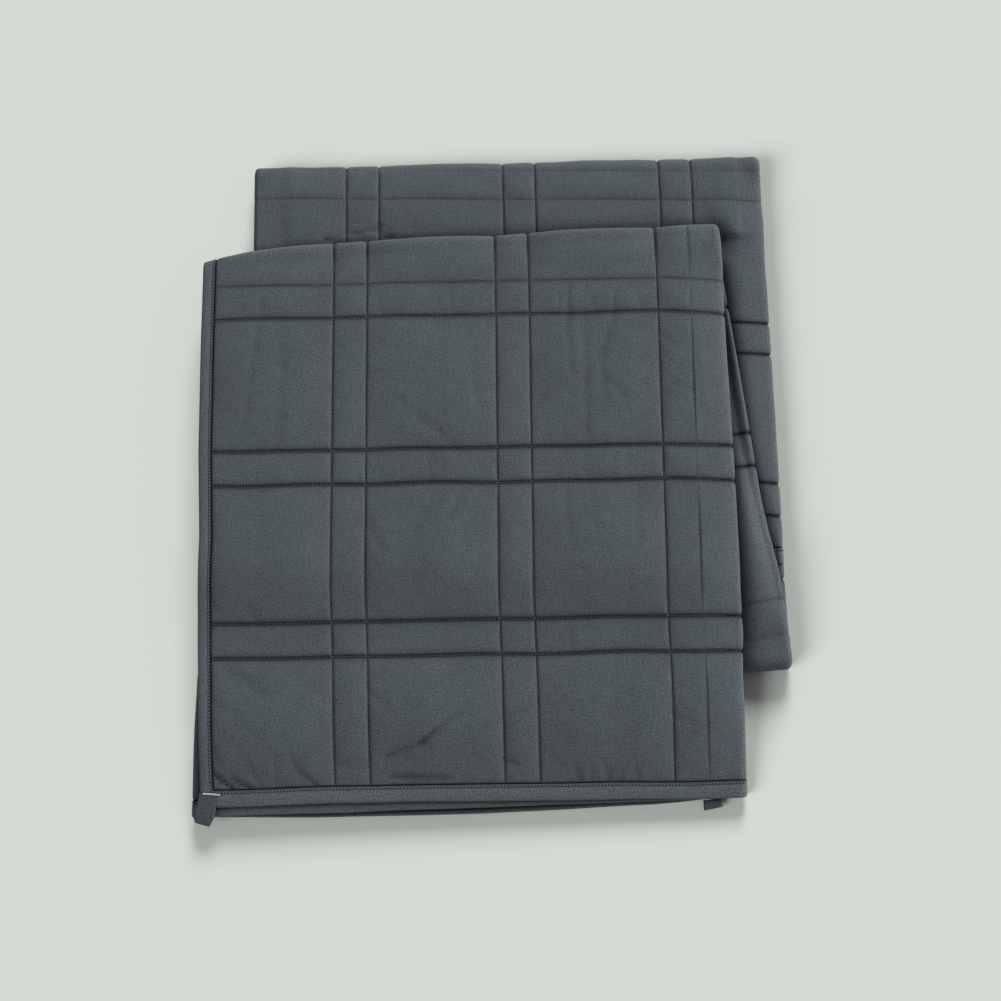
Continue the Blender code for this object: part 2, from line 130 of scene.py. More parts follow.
def stripPlace(u, v, w):
    # lengthwise folds: half a turn of radius pitch at the right, half a turn of half that at the left
    near = np.clip(1 - v / blanket["nearReach"], 0, 1)
    bow = near * np.interp(u, nearTable["u"], nearTable["bow"]) / 1000
    out = near * np.interp(u, nearTable["u"], nearTable["out"]) / 1000
    edgeIn = across("edgeIn", v) * np.clip(1 - u / blanket["firstLine"][0], 0, 1)
    u = u - across("slip", v) * np.clip(u / blanket["slipReach"], 0, 1) + edgeIn
    right = blanket["rightFold"] + across("rightOut", v)
    left = blanket["leftFold"] + 2 * across("rightOut", v) + across("toe", v)
    leftX = right - (left - right - pi * pitch)
    rightTurn = np.clip((u - right) / pitch, 0, pi)
    leftTurn = np.clip((u - left) / (pitch / 2), 0, pi)
    x = np.where(u < right, u, right - np.clip(u - right - pi * pitch, 0, None))
    x = np.where((rightTurn > 0) & (rightTurn < pi), right + (pitch + w) * np.sin(rightTurn), x)
    n = pitch + (pitch + w) * np.cos(rightTurn)
    x = np.where(u > left, leftX - (pitch / 2 + w) * np.sin(leftTurn), x)
    x = np.where(leftTurn >= pi, leftX + (u - left - pi * pitch / 2), x)
    n = np.where(u > left, pitch / 2 - (pitch / 2 + w) * np.cos(leftTurn), n)
    isTop = u < right + pi * pitch / 2
    fromFold = np.clip(right - x, 0, None)
    turnRows = fromFold * np.where(isTop, along("skewTop", v), along("skewUnder", v))
    turnRows = turnRows + np.minimum(fromFold, blanket["nipReach"]) * along("nip", v)
    turnRows = np.radians(turnRows) * np.where(isTop, -1, 1)
    return x + out + across("sway", v), v + along("slack", v) / 1000 + turnRows + bow, n


def acrossFold(fold):
    slant = atan2(fold["right"] - fold["left"], blanket["rightFold"])
    return -sin(slant) * fold["side"], cos(slant) * fold["side"]


def foldedStrip(u, v, w):
    # each crosswise fold rolls what lies past its start round an axis, then lays the rest out straight; the
    # top fold's start bulges by x, and what lies past it keeps its place, so it slips back by twice as much
    startX, startY, n = stripPlace(u, v, w)
    bulge = np.interp(startX, topFoldTable["x"], topFoldTable["bulge"]) / 1000
    startY = startY + 2 * bulge * smoothStep((v - 0.535) / 0.10)
    x, y = startX, startY
    for number, fold in enumerate(crossFolds):
        ax, ay = acrossFold(fold)
        shift = bulge * ay * (2, 2, 1, 0)[number]
        flatReach = startX * ax + (startY - fold["left"]) * ay - shift
        reach = x * ax + (y - fold["left"]) * ay - shift
        arm = (fold["axis"] - n) * fold["up"]
        turn = np.clip(flatReach / fold["radius"], 0, fold["angle"])
        arc = fold["radius"] * fold["angle"]
        beyond = np.where(flatReach > arc, reach - arc, 0)
        moves = flatReach > 0
        step = np.where(moves, arm * np.sin(turn) + beyond * np.cos(turn) - reach, 0)
        n = np.where(moves, fold["axis"] - fold["up"] * (arm * np.cos(turn) - beyond * np.sin(turn)), n)
        x = x + step * ax
        y = y + step * ay
    return x, y, n, startX, startY


endU = np.array([blanket["leftFold"], blanket["rightFold"] + pi * pitch])
endU = endU + across("slip", blanket["length"])
endX, endY = foldedStrip(endU, np.full(2, blanket["length"]), np.zeros(2))[:2]


def settled(u, v, w):
    # the fold map, then the upper layers settle by three layers past the hidden end; gives x, y and height
    x, y, n, startX, startY = foldedStrip(u, v, w)
    line = np.array([endX[1] - endX[0], endY[1] - endY[0]])
    line = line / np.hypot(*line)
    pastEnd = ((x - endX[0]) * line[1] - (y - endY[0]) * line[0]) / blanket["settle"]
    ax, ay = acrossFold(crossFolds[1])
    isUpper = startX * ax + (startY - crossFolds[1]["left"]) * ay < 0
    n = n + np.where(isUpper, 3 * pitch * (1 - smoothStep(pastEnd)), 0)
    return x, y, n + 6 * pitch + blanket["layer"] / 2


# folds towards which the pile slopes down, from one flat place (u, v) to the next with the outside on the
# left; deep is the share of the height that is gone at the fold, wide how far in the slope starts, bend the
# power that it grows with, and from is the first v of the cloth that slopes
pressNames = ("u", "v", "from", "deep", "wide", "bend")
pressLines = [dict(zip(pressNames, row)) for row in (
    ((0.512, 0.512, 0.512, 0.512), (0.50, 0.35, 0.15, 0.03), -1, 0.085, 0.034, 1.4),
    ((0.02, 0.25, 0.50), (0.560, 0.575, 0.590), -1, 0.040, 0.020, 2),
    ((0.530, 0.530, 0.530), (1.64, 1.80, 2.00), 0.55, 0.150, 0.036, 1.6),
    ((1.00, 0.78, 0.56), (1.597, 1.597, 1.597), 0.55, 0.150, 0.036, 1.5),
    ((0.524, 0.524, 0.524), (0.62, 0.80, 0.96), 0.55, 0.150, 0.032, 3),
)]
# and the edges of upper layers beside which the cloth under them dips: it is deep lower at the edge, and
# level again this wide outside it
dipLines = [dict(zip(pressNames, row)) for row in (
    ((0.00, 0.25, 0.47, 0.509), (0.549, 0.563, 0.575, 0.556), 0.60, 0.0110, 0.028),
    ((0.509, 0.512, 0.512, 0.512), (0.560, 0.50, 0.25, 0.03), 0.55, 0.0054, 0.030),
    ((0.524, 0.524, 0.524), (0.60, 0.80, 0.98), 1.01, 0.0030, 0.017),
)]
slope = {
    "start": 0.03,  # how far along the cloth a slope or a dip takes to begin
    "past": 0.012,  # how fast a slope fades past its fold
    "dipPast": 0.025,  # and a dip inside its edge
    "full": 6 * pitch,  # cloth that lies lower than this dips less
}
for press in pressLines + dipLines:
    pressX, pressY, _ = settled(np.array(press["u"]), np.array(press["v"]), np.zeros(len(press["u"])))
    press["x"], press["y"] = pressX, pressY


def fromLine(x, y, press):
    # distance to the nearest part of the line, more than 0 on its left
    away, side = np.full_like(x, 10.0), np.ones_like(x)
    for k in range(len(press["x"]) - 1):
        ex, ey = press["x"][k + 1] - press["x"][k], press["y"][k + 1] - press["y"][k]
        dx, dy = x - press["x"][k], y - press["y"][k]
        run = np.clip((dx * ex + dy * ey) / (ex * ex + ey * ey), 0, 1)
        reach = np.hypot(dx - run * ex, dy - run * ey)
        side = np.where(reach < away, np.where(ex * dy - ey * dx > 0, 1.0, -1.0), side)
        away = np.minimum(away, reach)
    return away * side


def pressed(x, y, v, height):
    # each slope grows as a power up to its fold and fades as a bell past it; each dip falls off as a square
    # outside its edge, and the deepest dip counts
    deepest = np.zeros_like(x)
    for press in pressLines + dipLines:
        begun = smoothStep((v - press["from"]) / slope["start"] + 0.5)
        away = fromLine(x, y, press)
        if "bend" in press:
            inside = np.clip(1 + away / press["wide"], 0, 1) ** press["bend"]
            share = np.where(away < 0, inside, np.exp(-(away / slope["past"]) ** 2))
            height = height * (1 - press["deep"] * begun * share)
        else:
            outside = np.clip(1 - away / press["wide"], 0, 1) ** 2
            share = np.where(away > 0, outside, np.exp(-(away / slope["dipPast"]) ** 2))
            deepest = np.maximum(deepest, press["deep"] * share * begun)
    return height - deepest * np.clip(height / slope["full"], 0, 1)


def placeOnPile(u, v, w):
    # the settled place with a slight wander of the seams, pressed thinner near the folds, then the turn on
    # the floor
    u, v, w = (np.array(a, dtype=float) for a in np.broadcast_arrays(u, v, w))
    wander, wanderLength = blanket["wander"]
    v = v + wander * waves(u, v, 12, wanderLength)
    x, y, height = settled(u, v, w)
    height = pressed(x, y, v, height)
    turn, (cornerX, cornerY) = blanket["turn"], blanket["corner"]
    worldX = cornerX + x * cos(turn) - y * sin(turn)
    worldY = cornerY + x * sin(turn) + y * cos(turn)
    return np.stack([worldX, worldY, height], axis=-1)


def stitchLines(axis):
    # pairs of lines, a square apart
    first, square = blanket["firstLine"][axis], blanket["square"][axis]
    size = (blanket["width"], blanket["length"])[axis]
    starts = np.arange(first, size - blanket["pairGap"], square + blanket["pairGap"])
    return np.sort(np.concatenate([starts, starts + blanket["pairGap"]]))


linesU, linesV = stitchLines(0), stitchLines(1)
rightFold, leftFold = blanket["rightFold"], blanket["leftFold"]


def nearest(values, marks):
    # distance to the nearest mark
    marks = np.asarray(marks)
    place = np.clip(np.searchsorted(marks, values), 1, len(marks) - 1)
    return np.minimum(np.abs(values - marks[place - 1]), np.abs(values - marks[place]))


# Surfaces

quilt = {
    "half": 0.00175,
    "lineHalf": 0.00005,
    "foldLineHalf": -0.00080,  # at a fold a stitch line cuts deeper
    "rowReach": 0.0015,  # how fast the cloth rises from a line across
    "columnReach": 0.0010,  # and from a line along
    "columnShare": 0.75,  # which is less deep
    # lines across that pull less, and the one along by the right fold
    "softRows": {0.4640: 0.80, 0.4969: 0.40, 0.9599: 0.30, 0.9928: 0.30, 1.6211: 0.12, 1.6540: 0.22},
    "softColumn": (0.4810, 0.10),
    "crown": 0.0030,  # height of a big square where nothing lies on it
    "stripCrown": 0.0012,  # and of the cells between two lines of a pair
    "ripple": 0.0004,  # soft unevenness of the filling
    "gather": 0.00016,  # small pleats that a line across pulls
    "edgeHalf": 0.0006,
    "edgeReach": 0.0013,
    "marginU": 0.0123,
    "marginV": 0.0158,
    "rim": 0.0010,
}


def ramp(values, start, end):
    return smoothStep((values - start) / (end - start))


def openTop(u, v):
    # 1 where the face that shows has nothing on it: the whole top third, and the strip at the far end
    topThird = ramp(u, rightFold + 0.008, rightFold - 0.004) * ramp(v, 0.565, 0.545)
    farStrip = ramp(u, rightFold + 0.014, rightFold + 0.026) * ramp(u, leftFold, leftFold - 0.012)
    return np.maximum(topThird, farStrip * ramp(v, 1.592, 1.604) * ramp(v, 1.725, 1.675))


def sideStrips(u, v):
    # 1 on the strips of the lower layers that show at the right
    side = ramp(u, rightFold + 0.014, rightFold + 0.024) * ramp(u, rightFold + 0.10, rightFold + 0.08)
    upper, lower = ramp(v, 0.59, 0.61) * ramp(v, 0.99, 0.98), ramp(v, 1.73, 1.74) * ramp(v, 2.01, 2.0)
    return side * np.maximum(upper, lower)


def foldness(u, v):
    # where the cloth turns a fold: the far folds for lines along, the right fold for lines across
    upper = ramp(v, 0.515, 0.535) * ramp(v, 0.600, 0.580)
    lower = ramp(v, 1.575, 1.590) * ramp(v, 1.622, 1.612)
    right = ramp(u, rightFold - 0.010, rightFold + 0.003) * ramp(u, rightFold + 0.024, rightFold + 0.012)
    return np.maximum(upper, lower), right


def cellSwell(values, lines, start, end):
    # 0 at each line, 1 half way between two, as a parabola, and the width of the cell
    edges = np.concatenate([[start], lines, [end]])
    place = np.clip(np.searchsorted(edges, values), 1, len(edges) - 1)
    low, high = edges[place - 1], edges[place]
    t = np.clip((values - low) / (high - low), 0, 1)
    return 4 * t * (1 - t), high - low


# creases in the top third and at the far end, on the flat cloth: from, to, width and depth in mm; a negative
# depth is a ridge
creases = {
    "fromU": [14, 32, 100, 88, 72, 46, 34, 180, 212, 222, 164, 162, 184, 12, 14, 132, 130, 266, 292, 288,
              446, 356, 370, 384, 398, 412, 360, 354, 406, 384, 430, 358, 376, 404, 390, 396, 294, 462, 450,
              452, 50, 12, 222, 364, 406, 354, 378, 424, 254, 168, 352, 396, 198, 58, 244, 54, 82, 264, 204,
              488, 958, 958, 954, 978, 926, 924, 794],
    "fromV": [30, 26, 28, 44, 40, 38, 120, 44, 56, 64, 98, 110, 24, 94, 52, 102, 38, 66, 76, 38, 78,
              28, 26, 28, 24, 26, 490, 496, 482, 476, 478, 458, 458, 460, 426, 398, 426, 392, 384, 438,
              180, 188, 328, 322, 322, 288, 288, 288, 288, 254, 164, 130, 134, 482, 488, 452, 432, 438, 370,
              430, 1692, 1696, 1678, 1698, 1682, 1692, 1650],
    "toU": [30, 50, 110, 96, 74, 56, 62, 212, 222, 246, 180, 176, 234, 24, 18, 144, 140, 286, 318, 300, 464,
            360, 368, 386, 394, 416, 360, 352, 404, 384, 432, 362, 376, 396, 394, 412, 306, 478, 462, 464,
            58, 22, 224, 368, 408, 358, 382, 420, 244, 176, 356, 396, 204, 60, 246, 46, 76, 270, 244, 492,
            928, 928, 930, 960, 916, 894, 792],
    "toV": [18, 16, 18, 26, 20, 24, 102, 56, 64, 80, 86, 116, 22, 90, 42, 100, 36, 72, 88, 34, 70,
            16, 14, 16, 14, 16, 460, 480, 466, 464, 464, 406, 344, 432, 376, 380, 430, 386, 378, 430,
            166, 176, 300, 298, 298, 234, 248, 238, 266, 238, 136, 114, 118, 464, 466, 362, 342, 378, 338,
            374, 1686, 1694, 1682, 1704, 1686, 1700, 1670],
    "wide": [2.2, 2.4, 1.8, 3.5, 3, 3.5, 9, 4, 2.6, 4.5, 4, 4, 4, 2.5, 3, 2.2, 2.5, 3, 2.4, 1.8, 4,
             2, 2.4, 2.2, 2, 2.2, 2, 2, 2.4, 2.4, 2.6, 4, 5, 4.5, 5, 5, 2.2, 3.2, 2.8, 4,
             4, 2.4, 2.5, 2.6, 2.4, 4.5, 4, 4.5, 4.5, 5, 3, 2.6, 3, 3, 3, 6, 6, 6, 7, 4,
             2.2, 3, 2.5, 2.4, 2.2, 2.6, 2.6],
    "deep": [0.9, 0.7, 0.6, 0.3, 0.25, 0.3, 0.5, 0.5, 0.6, 0.5, 0.4, 0.3, 0.6, 0.4, 0.5, 0.45, 0.35, 0.3,
             0.45, 0.5, 0.5, 0.4, 0.35, 0.45, 0.35, 0.35, 0.7, 0.35, 0.5, 0.4, 0.35, 0.4, 0.35, 0.45, 0.25,
             0.4, 0.4, 0.55, 0.45, 0.35, 0.4, 0.4, 0.3, -0.35, -0.4, 0.3, 0.25, 0.3, 0.4, 0.4, 0.3, 0.3,
             0.3, 0.3, 0.3, 0.35, 0.25, 0.25, 0.3, -0.3, 0.7, -0.6, 0.35, 1.0, 0.6, 1.1, 0.35],
}


creaseLook = {
    "leastWide": 0.0030,  # no crease is narrower than the grid can show
    "nearEnd": 0.045,  # one that starts nearer to the near end than this
    "nearShare": 2.0,  # is so many times as deep as its table says
    "share": 1.3,  # and any other so many times
    "full": 0.0014,  # depth from which it has its whole painted shade
}


def creaseDepth(u, v):
    # a valley along each crease with a low ridge on both sides, fading as a bell past its ends
    depth = np.zeros_like(u)
    table = np.array([creases[name] for name in ("fromU", "fromV", "toU", "toV", "wide", "deep")]).T / 1000
    for fromU, fromV, toU, toV, wide, deep in table:
        wide = max(wide, creaseLook["leastWide"])
        near = (np.abs(u - (fromU + toU) / 2) < 0.08) & (np.abs(v - (fromV + toV) / 2) < 0.09)
        if not near.any():
            continue
        du, dv = toU - fromU, toV - fromV
        length = np.hypot(du, dv)
        run = ((u[near] - fromU) * du + (v[near] - fromV) * dv) / length
        off = ((u[near] - fromU) * dv - (v[near] - fromV) * du) / length
        past = np.clip(np.maximum(-run, run - length), 0, None)
        sideways = (off / wide) ** 2
        share = creaseLook["nearShare"] if fromV < creaseLook["nearEnd"] else creaseLook["share"]
        valley = share * deep * (1 - 0.8 * sideways) * np.exp(-sideways)
        depth[near] += valley * np.exp(-(past / (1.5 * wide)) ** 2)
    return depth


def edgeInset(u, v):
    # distance in from the binding's inner edge
    inU = np.minimum(u, blanket["width"] - u) - quilt["marginU"]
    inV = np.minimum(v, blanket["length"] - v) - quilt["marginV"]
    return inU, inV


def rowStrength(v):
    # how hard the nearest line across pulls
    strength = np.ones_like(v)
    for row, share in quilt["softRows"].items():
        strength = np.where(np.abs(v - row) < 0.016, share, strength)
    return strength


def columnStrength(u, v):
    line, share = quilt["softColumn"]
    return np.where((np.abs(u - line) < 0.016) & (v < 0.6), share, 1.0)


def shownHalf(u, v):
    # height of the shown face over the middle layer: it rises by 1 - exp(-distance / reach) from each stitch
    # line and from the binding, the cells are crowned, and creases and small pleats cross them
    q = quilt
    toU, toV = nearest(u, linesU), nearest(v, linesV)
    inU, inV = edgeInset(u, v)
    far, right = foldness(u, v)
    column = q["columnShare"] * np.exp(-toU / q["columnReach"]) * columnStrength(u, v)
    row = np.exp(-toV / q["rowReach"]) * rowStrength(v)
    drop = q["half"] - q["lineHalf"]
    deep = q["lineHalf"] - q["foldLineHalf"]
    body = q["half"] - np.maximum((drop + deep * far) * column, (drop + deep * right) * row)
    swellU, wideU = cellSwell(u, linesU, q["marginU"], blanket["width"] - q["marginU"])
    swellV, wideV = cellSwell(v, linesV, q["marginV"], blanket["length"] - q["marginV"])
    swellU = np.where((u > 0.48) & (u < 0.56), 0.3, swellU)
    wide = np.minimum(np.minimum(wideU, wideV), 0.13) / 0.13
    swell = (swellU * swellV) ** 0.75
    height = q["stripCrown"] + (q["crown"] - q["stripCrown"]) * np.clip((wide - 0.25) / 0.75, 0, 1)
    top, sides = openTop(u, v), sideStrips(u, v)
    toLine = np.minimum(toU, toV)
    uneven = waves(u, v, 3, 0.055) + 0.5 * waves(u, v, 5, 0.022)
    ripple = q["ripple"] * uneven * (1 - np.exp(-toLine / 0.006))
    gather = q["gather"] * waves(u, 0.15 * v, 7, 0.011) * np.exp(-toV / 0.009) * (1 - np.exp(-toV / 0.0008))
    crown = top * (height * swell + ripple + gather)
    crown = crown - np.where(v < 1.8, creaseDepth(u, v), 0) * np.minimum(1, 3 * top)
    crown = crown + sides * (0.0006 + 0.5 * ripple) * (1 - row)
    rise = 1 - np.exp(-np.clip(np.minimum(inU, inV), 0, None) / q["edgeReach"])
    return q["edgeHalf"] + (body + crown - q["edgeHalf"]) * rise


# painted shade, as a darker colour, round the stitch lines, by the binding and in the creases
paintedShadeTone = {
    "row": (0.86, 0.0022),  # how dark, and how wide, the painted shade is by a line across
    "halo": (0.15, 0.0050),  # and fainter beyond it
    "column": (0.25, 0.0012),  # by a line along
    "hem": (1, 0.0007),  # by the binding
    "rowShift": 0.0004,
    "hemStart": 0.0005,
    "crease": (0.55, 0.80),  # in a crease of the top third, and of the far end
}


def bell(values, tone):
    dark, wide = tone
    return dark * np.exp(-(values / wide) ** 2)


def paintedSeamShade(u, v):
    # painted shade on the cloth: a bell round each stitch line, a wider faint one for lines across, a
    # narrow one by the binding, and the creases by their depth; the darkest counts
    tone = paintedShadeTone
    toRow = nearest(v + tone["rowShift"], linesV)
    row = (bell(toRow, tone["row"]) + bell(toRow, tone["halo"])) * rowStrength(v)
    column = bell(nearest(u, linesU), tone["column"]) * columnStrength(u, v)
    inU, inV = edgeInset(u, v)
    hem = bell(np.clip(np.minimum(inU, inV) - tone["hemStart"], 0, None), tone["hem"])
    depth = np.clip(creaseDepth(u, v) / creaseLook["full"], 0, 1) ** 1.5
    fold = np.where(v < 1.6, *tone["crease"]) * depth
    return np.maximum(np.maximum(row, column), np.maximum(hem, fold))


def hiddenHalf(u, v):
    q = quilt
    inU, inV = edgeInset(u, v)
    return q["edgeHalf"] + (q["half"] - q["edgeHalf"]) * np.clip(np.minimum(inU, inV) / 0.005, 0, 1)


# steps and stations beside the lines, by zone of the flat cloth
fine = (0, 0.0006, 0.0012, 0.0020, 0.0032, 0.0055)
middling = (0, 0.0007, 0.0016, 0.0032, 0.0065)
plain = (0, 0.0012, 0.0035)
step = {"open": 0.0032, "fold": 0.0018, "turn": 0.0014, "hidden": 0.0500}


def zonesFrom(starts, steps, offsets):
    # neighbouring zones, each up to the start of the next
    return [{"start": start, "end": end, "step": size, "offsets": beside}
            for start, end, size, beside in zip(starts, starts[1:], steps, offsets)]


def zonesAcross(left, middle, side, leftOffsets=(), middleOffsets=(), pleated=1):
    # across the cloth: the left third, the way to the right fold, the fold, the strip past it, the middle
    # third, its pleated part with a step of its own, the left fold and the rest
    starts = (0.0, 0.494, 0.504, 0.536, 0.580, 0.890, 1.020, 1.042, 1.600)
    steps = (left, 0.0030, step["fold"], side, middle, min(middle, pleated), step["turn"], step["hidden"])
    return zonesFrom(starts, steps, (leftOffsets, (), (), (), middleOffsets, middleOffsets, (), ()))


# along the cloth, each band has its own stations across: the open face, the far fold, the strip of the
# second layer, the near fold, the underside, the far end and the strip below it
unseen = step["hidden"]
bands = [{"end": end, "across": zonesAcross(*row)} for end, row in (
    (0.5120, (step["open"], unseen, 0.0150, fine)),
    (0.6000, (0.0300, unseen, 0.0080, plain)),
    (0.9800, (unseen, unseen, 0.0040)),
    (1.0560, (0.0300, 0.0300, 0.0080, plain, plain)),
    (1.5700, (unseen, 0.0300, 0.0150, (), plain)),
    (1.7350, (unseen, 0.0150, 0.0040, (), middling, 0.0030)),
    (2.1000, (unseen, unseen, 0.0040)),
)]
zonesV = zonesFrom((0.0, 0.512, 0.600, 0.980, 1.056, 1.570, 1.625, 1.735, 2.100),
                   (step["open"], 0.0034, 0.0160, 0.0034, 0.0300, 0.0030, 0.0038, 0.0160),
                   (fine, (), middling, (), plain, middling, middling, middling))


def zoneOf(zones, value):
    return [zone for zone in zones if zone["start"] <= value < zone["end"]][0]


def stations(marks, size, margin, zones):
    # stations beside each stitch line and by the binding, and an even step between
    q = quilt
    near = [q["rim"], 0.5 * margin] + [margin + past for past in (0, 0.0006, 0.0014, 0.0026, 0.0050)]
    values = near + [size - value for value in near] + [zone["start"] for zone in zones[1:]]
    for mark in marks:
        values += [mark + side * offset for offset in zoneOf(zones, mark)["offsets"] for side in (-1, 1)]
    filled = []
    values = sorted(values)
    for a, b in zip(values, values[1:]):
        if filled and a - filled[-1] < 0.0003:
            continue
        parts = max(1, int(np.ceil((b - a) / zoneOf(zones, a)["step"] - 0.01)))
        filled += [a + (b - a) * k / parts for k in range(parts)]
    return np.array(filled + [values[-1]])


def stationsAcross(zones):
    return stations(linesU, blanket["width"], quilt["marginU"], zones)


gridV = stations(linesV, blanket["length"], quilt["marginV"], zonesV)
rimU = stationsAcross(zonesAcross(0.0100, 0.0100, 0.0050, plain, plain))
rimV = gridV[::2]
hiddenU = stationsAcross(zonesAcross(0.0500, 0.0500, 0.0200))
hiddenV = stations((), blanket["length"], quilt["marginV"],
                   [{**zone, "step": 0.0040 if zone["step"] < 0.0040 else 0.0500}
                    for zone in [{**zonesV[0], "step": 0.0500}] + zonesV[1:]])
print("stations along", len(gridV), "hidden", len(hiddenU), "by", len(hiddenV))


def onColumn(u, v):
    # columns near a lengthwise fold move across the cloth with it
    byRight = np.interp(u, [0.485, 0.503, 0.528, 0.600], [0, 1, 1, 0])
    byLeft = np.interp(u, [0.965, 1.020, 1.042, 1.110], [0, 1, 1, 0])
    slip, out = across("slip", v), across("rightOut", v)
    return u + byRight * (slip + out) + byLeft * (slip + 2 * out + across("toe", v))


def addMesh(name, points, faces, uv=None, shade=None):
    # one object at the origin from whole arrays; faces are quads or triangles of point numbers
    mesh = bpy.data.meshes.new(name)
    faces = faces.tolist() if hasattr(faces, "tolist") else faces
    mesh.from_pydata(points.reshape(-1, 3).tolist(), [], faces)
    if uv is not None:
        layer = mesh.uv_layers.new(name="flatCloth")
        corners = np.empty(len(mesh.loops), dtype=np.int32)
        mesh.loops.foreach_get("vertex_index", corners)
        layer.data.foreach_set("uv", uv.reshape(-1, 2)[corners].astype(np.float32).ravel())
    # a painted shade, kept as an attribute that the material reads
    if shade is not None:
        layer = mesh.attributes.new("paintedSeamShade", "FLOAT", "POINT")
        layer.data.foreach_set("value", shade.astype(np.float32).ravel())
    mesh.polygons.foreach_set("use_smooth", np.full(len(mesh.polygons), True))
    mesh.update()
    piece = bpy.data.objects.new(name, mesh)
    bpy.context.scene.collection.objects.link(piece)
    return piece


def gridQuads(ids):
    return np.stack([ids[:-1, :-1], ids[:-1, 1:], ids[1:, 1:], ids[1:, :-1]], axis=-1).reshape(-1, 4)


def joined(firstIds, firstAt, secondIds, secondAt):
    # triangles between two rows of points that have their own stations
    faces, j, k = [], 0, 0
    while j < len(firstIds) - 1 or k < len(secondIds) - 1:
        ahead = k == len(secondIds) - 1 or (j < len(firstIds) - 1 and firstAt[j + 1] <= secondAt[k + 1])
        if ahead:
            faces.append((int(firstIds[j]), int(firstIds[j + 1]), int(secondIds[k])))
            j += 1
        else:
            faces.append((int(firstIds[j]), int(secondIds[k + 1]), int(secondIds[k])))
            k += 1
    return faces


def makeQuilt():
    # shown face at +shownHalf, in bands that are joined row to row; hidden face at -hiddenHalf on a coarser
    # grid, joined round the rim
    faces, flatU, flatV, ends, rows, count, start = [], [], [], [], [], 0, 0.0
    for band in bands:
        v = gridV[(gridV >= start - 1e-9) & (gridV < band["end"] - 1e-9)]
        start = band["end"]
        u = stationsAcross(band["across"])
        vv, uu = np.meshgrid(v, u, indexing="ij")
        ids = count + np.arange(uu.size).reshape(uu.shape)
        count += uu.size
        faces += gridQuads(ids).tolist()
        if rows:
            faces += joined(rows[-1], ends[-1], ids[0], u)
        rows.append(ids[-1])
        ends.append(u)
        flatU.append(uu.ravel())
        flatV.append(vv.ravel())
        band["ids"] = ids
    shownUU, shownVV = np.concatenate(flatU), np.concatenate(flatV)
    shownUU = onColumn(shownUU, shownVV)
    shown = placeOnPile(shownUU, shownVV, shownHalf(shownUU, shownVV))
    hiddenVV, hiddenUU = np.meshgrid(hiddenV, hiddenU, indexing="ij")
    hiddenUU = onColumn(hiddenUU, hiddenVV)
    hidden = placeOnPile(hiddenUU, hiddenVV, -hiddenHalf(hiddenUU, hiddenVV))
    hiddenIds = count + np.arange(hiddenUU.size).reshape(hiddenUU.shape)
    faces += gridQuads(hiddenIds)[:, ::-1].tolist()
    leftIds = np.concatenate([band["ids"][:, 0] for band in bands])
    rightIds = np.concatenate([band["ids"][:, -1] for band in bands])
    faces += joined(bands[0]["ids"][0, ::-1], -ends[0][::-1], hiddenIds[0, ::-1], -hiddenU[::-1])
    faces += joined(bands[-1]["ids"][-1], ends[-1], hiddenIds[-1], hiddenU)
    faces += joined(leftIds, gridV, hiddenIds[:, 0], hiddenV)
    faces += joined(rightIds[::-1], -gridV[::-1], hiddenIds[::-1, -1], -hiddenV[::-1])
    points = np.concatenate([shown, hidden.reshape(-1, 3)])
    hiddenFlat = np.stack([hiddenUU, hiddenVV], -1).reshape(-1, 2)
    uv = np.concatenate([np.stack([shownUU, shownVV], -1), hiddenFlat])
    # painted shade on the shown face, none on the hidden face
    shade = np.concatenate([paintedSeamShade(shownUU, shownVV), np.zeros(hiddenIds.size)])
    return addMesh("quiltedCloth", points, faces, uv, shade)


quiltedCloth = makeQuilt()
print("quilted cloth:", len(quiltedCloth.data.polygons), "faces")


binding = {
    "reach": 0.0120,  # at the sides
    "endReach": 0.0155,  # at the near and far end
    "half": 0.0019,
    "cloth": 0.0007,
    "seam": 0.0106,  # stitched this far from the edge, at the sides
    "corner": 0.017,  # no station nearer to a corner than this
    "endPaintedLight": -0.18,  # painted light at the ends: less than 0 is lighter than the cloth
    "paintedSeamShade": 0.6,  # painted shade in the seam and at the inner edge
    "sidePaintedShade": 0.75,  # painted shade at the sides, from the seam inwards
    "tuckedPaintedShadow": 0.97,  # painted shadow where the near end's second layer goes in under the first
}


